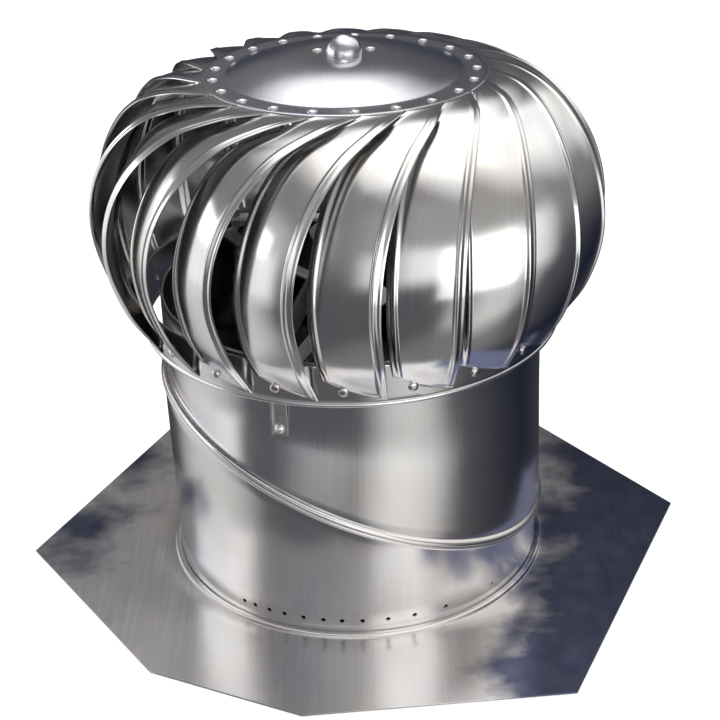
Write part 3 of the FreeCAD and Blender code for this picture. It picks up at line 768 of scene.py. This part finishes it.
def upperCollar():
    sheet, half, reach = collar["sheet"], collar["beadHalf"], collar["beadReach"]
    neck, rows = collar["neck"], collar["easeRows"]
    ridges = []
    for k in range(collar["ridgeSteps"] + 1):  # two round ridges with a waist between them
        lift = -half + 2 * half * k / collar["ridgeSteps"]
        share, rise = abs(lift) / half, collar["ridgeFoot"]
        if share < 1:
            rise += (reach - collar["ridgeFoot"]) * math.sin(math.pi * share) ** collar["ridgeShape"]
            rise += collar["waist"] * reach * (1 - min(2 * share, 1))
        ridges.append(seamRing(rise, lift))
    neckOut, neckIn = seamRing(0, neck), seamRing(-sheet, neck)
    easeTop = levelRing(collar["radius"], collar["easeTop"])
    shoulderIn = levelRing(collar["radius"] - sheet, collar["shoulder"])
    rollCentre = (collar["radius"] - collar["roll"], collar["top"])
    rings = [seamRing(collar["gap"], -half + sheet), seamRing(collar["gap"], -half)] + ridges
    rings += [seamRing(0.1, half + 0.3), neckOut]
    rings += [easedRing(easeTop, neckOut, 1 - k / rows) for k in range(1, rows)]
    rings += [easeTop] + between(easeTop, levelRing(collar["radius"], collar["top"]), 2)
    rings += [levelRing(r, z) for r, z in arcPoints(rollCentre, collar["roll"], 0, 230, 9)]
    rings += [levelRing(collar["radius"] - sheet, collar["top"] - collar["mouth"]), shoulderIn]
    rings += between(shoulderIn, neckIn, collar["innerRows"]) + [neckIn, seamRing(-sheet, 0.0)]
    cavity = reach - 2 * sheet - collar["gap"]
    rings += [seamRing(cavity, 0.0), seamRing(cavity, -half + sheet)]
    return finished(sleeve("upperCollar", rings), sleeveMetal, "upper_base", 35, "upper_collar")


lowerCollar()
upperCollar()
print("collars made")


# Flashing plate

plate = {
    "cornerRadius": 284.0, "firstCorner": 4.6, "clipped": (1, 4), "clipHalf": 15, "sheet": 1.0,
    "opening": 152.4, "shares": [1.0, 1.0, 0.997, 0.9, 0.75, 0.55, 0.35, 0.15], "edgeRound": 0.25,
    "ringRadius": 161.4, "ringHeight": 4.2, "crest": 2.2, "wall": 0.8, "groove": 1.4,
    "footCurve": [(0.9, 0.0), (0.2, 0.3), (0.0, 1.0)],  # out from the ring, up from the sheet
}


def plateEdge(angle):  # distance to the clipped hexagon's edge in one direction
    across = plate["cornerRadius"] * cosine(30)
    flats = [plate["firstCorner"] + 30 + 60 * k for k in range(6)]
    flats += [plate["firstCorner"] + 60 * k for k in plate["clipped"]]
    facing = [cosine(angle - flat) for flat in flats]
    return min(across / share for share in facing if share > 0.3)


def flashingPlate():
    corners, clip = [], plate["clipHalf"]
    for k in range(6):
        middle = plate["firstCorner"] + 60 * k
        corners += [middle - clip, middle + clip] if k in plate["clipped"] else [middle]
    angles = sorted(set([round((a % 360), 3) for a in corners] + [a * 1.5 for a in range(240)]))
    sheet, wall, crest, shares = plate["sheet"], plate["wall"], plate["crest"], plate["shares"]
    ring, top = plate["ringRadius"], plate["ringHeight"]
    hook = collar["radius"] + collar["gap"]
    under = sheet + plate["groove"]
    foot = ring + plate["footCurve"][0][0]
    fixed = [(ring + out, sheet + up) for out, up in plate["footCurve"]]
    fixed += arcPoints((ring - crest, top - crest), crest, 0, 90, 7)
    fixed += [(hook + wall, top), (hook, top - wall), (hook, under), (ring - wall, under), (ring - wall, sheet)]
    fixed += [(plate["opening"], sheet), (plate["opening"], 0.0)]

    def place(column, row):
        angle = angles[column % len(angles)]
        edge = plateEdge(angle)
        if row == 0 or row == len(shares) + len(fixed):
            return polar(edge * mm, angle, 0.0)
        if row < len(shares):
            reach = foot + (edge - foot) * shares[row]
            height = sheet - plate["edgeRound"] if row == 1 else sheet
            return polar(reach * mm, angle, height * mm)
        radius, height = fixed[row - len(shares)]
        return polar(radius * mm, angle, height * mm)

    piece = gridPiece("flashingPlate", len(angles), len(shares) + len(fixed), place, True)
    return finished(piece, plateMetal, "flashing", 30, "flashing_plate")


flashingPlate()
print("flashing made")


# CAD nodes that stay, each with its finish

stays = {
    zincMetal: ["brace_leg_1", "brace_leg_2", "brace_leg_3", "lower_brace", "brace_feet", "upper_hub",
                "hub_rivets", "leg_screws", "leg_nuts", "shaft", "shaft_bottom_nut", "shaft_top_nut"],
    steelMetal: ["upper_bearing_inner_race", "upper_bearing_outer_race", "upper_bearing_balls",
                 "lower_bearing_inner_race", "lower_bearing_outer_race", "lower_bearing_balls",
                 "upper_shaft_clip", "lower_shaft_clip", "bearing_tube_clip"],
    cageNylon: ["upper_bearing_cage", "lower_bearing_cage"],
    crownMetalAndReflection: ["bearing_tube"],
}
for material, names in stays.items():
    for name in names:
        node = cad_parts[name]
        node.data.materials.clear()
        node.data.materials.append(material)
print("carried nodes finished")


# Camera at the photograph's place

camera = {
    "place": (0, -1.14168, 0.75638), "tip": 26.24, "roll": -0.030,
    "lens": 76.3, "film": 36, "shift": (0.01074, -0.0390),
}


def photoCamera():
    tip = math.radians(camera["tip"])
    ahead = Vector((0, math.cos(tip), -math.sin(tip)))
    right = Vector((1, 0, 0))
    up = right.cross(ahead)
    c, s = math.cos(camera["roll"]), math.sin(camera["roll"])
    axes = Matrix((c * right + s * up, c * up - s * right, -ahead)).transposed()
    data = bpy.data.cameras.new("photoCamera")
    data.lens = camera["lens"]
    data.sensor_width = camera["film"]
    data.shift_x, data.shift_y = camera["shift"]
    viewer = bpy.data.objects.new("photoCamera", data)
    viewer.matrix_world = Matrix.Translation(camera["place"]) @ axes.to_4x4()
    bpy.context.collection.objects.link(viewer)
    bpy.context.scene.camera = viewer


# Floor, lamps and sky

studio = {
    "floor": (0.86, 0.86, 0.87), "floorSize": 9.0, "floorDrop": 0.0006, "floorGlow": 0.42,
    # the near-black colour inside the throat is painted shade
    "surround": (0.96, 0.96, 0.97), "throat": 0.152, "throatShade": (0.006, 0.006, 0.007),
    # a side is its azimuth with an inner and an outer half width, a rise two elevations in degrees
    "below": (0.21, 0.20, 0.20), "belowRise": (-60, -48), "ground": (0.105, 0.102, 0.108),
    "upperDark": (0.23, 0.22, 0.225), "horizon": (-6, 10),
    "navy": (0.010, 0.013, 0.026), "navySide": (50, 15, 85), "navyRise": (-18, 0),
    "back": (0.034, 0.037, 0.052), "backSide": (88, 25, 55), "backRise": (14, 30),
    "warmWhite": (1.0, 0.985, 0.96), "ceilingAim": (0.2534, 0.2534, 0.9336), "ceilingEdge": (0.57, 0.85),
    "ceilingStrength": 1.2,
    "plateViews": [((84, 15, 30), (0.085, 0.083, 0.088)), ((110, 8, 28), (0.150, 0.143, 0.146))],
    "plateRise": (8, 18), "plateFall": (42, 52),
    "boxes": [  # azimuth, inner and outer half width, lowest and highest elevation, fade, strength
        (-58, 6, 27, -46, -26, 10, 0.70), (-54, 8, 31, -13, 13, 12, 1.05), (-86, 22, 46, -1, 13, 9, 1.05),
        (-80, 30, 60, 26, 44, 10, 0.36), (165, 10, 38, -48, -24, 12, 0.66), (166, 30, 40, -14, 8, 12, 1.05),
        (-170, 8, 22, 14, 24, 10, 0.5), (42, 10, 24, 14, 22, 6, 0.8),
    ],
    "lamps": {  # place, target, size and power
        "overheadLamp": ((0.0, 0.1, 2.4), (0, 0, 0.3), (2.2, 2.2), 4),
        "crownWide": ((-0.08, 1.6, 2.10), (0, 0, 0.43), (1.9, 1.1), 1.55, "ELLIPSE"),
        "crownMiddle": ((-0.10, 1.6, 2.12), (0, 0, 0.43), (1.45, 0.9), 1.2, "ELLIPSE"),
        "crownCore": ((-0.12, 1.6, 2.15), (0, 0, 0.43), (1.0, 0.7), 0.8, "ELLIPSE"),
        "leftBox": ((-0.70, 0.0, 0.48), (-0.14, -0.08, 0.2), (0.62, 0.18), 0.5),
        "rightBox": ((0.215, -0.52, 0.31), (0.05, -0.18, 0.31), (0.34, 0.30), 0.32),
    },
}


def sky():  # white to the camera; to the metal, soft boxes in a dark room
    world = bpy.data.worlds.new("studioSky")
    bpy.context.scene.world = world
    paint = Paint(world)
    x, y, z = paint.split(paint.coords("Generated"))
    level = (x * x + y * y + 0.0001) ** 0.5

    def facing(azimuth, inner, outer):
        towards = (x * cosine(azimuth) + y * sine(azimuth)) / level
        return paint.spread(towards, cosine(outer), cosine(inner))

    def above(low, high):
        return paint.spread(z, sine(low), sine(high))

    def warmLight(strength):
        return tuple(channel * strength for channel in studio["warmWhite"])

    room = paint.mixed(above(*studio["horizon"]), studio["ground"], studio["upperDark"])
    room = paint.mixed(above(*studio["belowRise"]), studio["below"], room)
    room = paint.mixed(facing(*studio["navySide"]) * (1 - above(*studio["navyRise"])), room, studio["navy"])
    room = paint.mixed(facing(*studio["backSide"]) * (1 - above(*studio["backRise"])), room, studio["back"])
    for azimuth, inner, outer, low, high, fade, strength in studio["boxes"]:
        share = facing(azimuth, inner, outer) * above(low - fade, low) * (1 - above(high, high + fade))
        room = paint.mixed(share, room, warmLight(strength))
    aim = studio["ceilingAim"]
    ceiling = paint.spread(x * aim[0] + y * aim[1] + z * aim[2], *studio["ceilingEdge"])
    room = paint.mixed(ceiling, room, warmLight(studio["ceilingStrength"]))
    for seen, light in studio["plateViews"]:
        share = facing(*seen) * above(*studio["plateRise"]) * (1 - above(*studio["plateFall"]))
        room = paint.mixed(share, room, light)
    glossy = paint.node("ShaderNodeLightPath", out="Is Glossy Ray")
    colour = paint.mixed(glossy, studio["surround"], room)
    surface = paint.node("ShaderNodeBackground", values={"Color": colour, "Strength": 1.0})
    paint.node("ShaderNodeOutputWorld", values={"Surface": surface})


def floorPiece():
    nothingSelected()
    size, place = studio["floorSize"], (0, 0, -studio["floorDrop"])
    bpy.ops.mesh.primitive_grid_add(x_subdivisions=8, y_subdivisions=8, size=size, location=place)
    piece = bpy.context.object
    piece.name = "floor"
    material, paint = newMaterial("paleFloor")
    x, y, z = paint.split(paint.coords())
    outside = paint.spread((x * x + y * y) ** 0.5, studio["throat"] - mm, studio["throat"])
    diffuse = paint.node("ShaderNodeBsdfDiffuse", values={"Color": studio["floor"]})
    glow = paint.node("ShaderNodeEmission", values={"Color": (1, 1, 1), "Strength": studio["floorGlow"]})
    toCamera = paint.node("ShaderNodeLightPath", out="Is Camera Ray")
    lit = paint.node("ShaderNodeAddShader", values={0: diffuse, 1: glow})
    seen = paint.node("ShaderNodeMixShader", values={0: toCamera, 1: diffuse, 2: lit})
    glossy = paint.node("ShaderNodeLightPath", out="Is Glossy Ray")
    clear = paint.node("ShaderNodeBsdfTransparent")
    plain = paint.node("ShaderNodeMixShader", values={0: glossy, 1: seen, 2: clear})
    # painted shade: inside the flashing's opening the floor is near black to every ray, for the shade in the
    # turbine's throat
    throatShade = paint.node("ShaderNodeBsdfDiffuse", values={"Color": studio["throatShade"]})
    surface = paint.node("ShaderNodeMixShader", values={0: outside, 1: throatShade, 2: plain})
    paint.node("ShaderNodeOutputMaterial", values={"Surface": surface})
    piece.data.materials.append(material)


def areaLamp(name, place, target, size, power, shape="RECTANGLE"):
    data = bpy.data.lights.new(name, "AREA")
    data.shape = shape
    data.size, data.size_y = size
    data.energy = power
    lamp = bpy.data.objects.new(name, data)
    lamp.location = place
    lamp.visible_camera = False
    lamp.rotation_euler = (Vector(target) - Vector(place)).to_track_quat("-Z", "Y").to_euler()
    bpy.context.collection.objects.link(lamp)


photoCamera()
floorPiece()
sky()
for name, settings in studio["lamps"].items():
    areaLamp(name, *settings)
bpy.context.scene.view_settings.view_transform = "Standard"
print("studio made")
